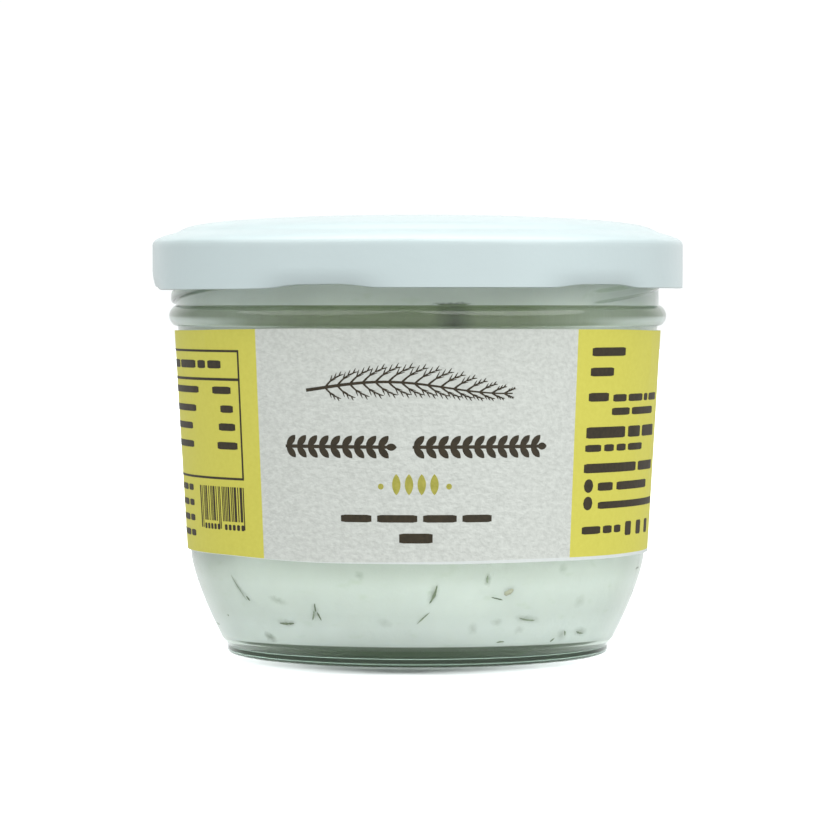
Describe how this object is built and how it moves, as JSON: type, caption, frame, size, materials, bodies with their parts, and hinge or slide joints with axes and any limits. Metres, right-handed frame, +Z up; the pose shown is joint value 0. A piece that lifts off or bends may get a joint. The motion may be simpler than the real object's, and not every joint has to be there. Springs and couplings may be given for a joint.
{
  "type": "jar of herbed soft cheese",
  "caption": "Shut squat glass jar of soft white cheese with bits of herb, under a white twist-off lid, with a wrap-around paper label.",
  "frame": {"origin": "middle of the jar's foot, on the surface that it stands on", "axes": "+Z up along the jar's axis, the label's middle faces -Y, +X to the right of the label"},
  "size_m": [0.085, 0.085, 0.0701],
  "materials": {
    "glass": "clear, faintly green, polished",
    "cheese": "moist soft white cheese with green and brown bits of herb",
    "lid": "white lacquer, semi-gloss",
    "label": "matte printed paper, cream with yellow sides"
  },
  "bodies": {
    "root": {"jar": "glass", "cheese": "cheese", "lid": "lid", "label": "label"}
  },
  "joints": []
}
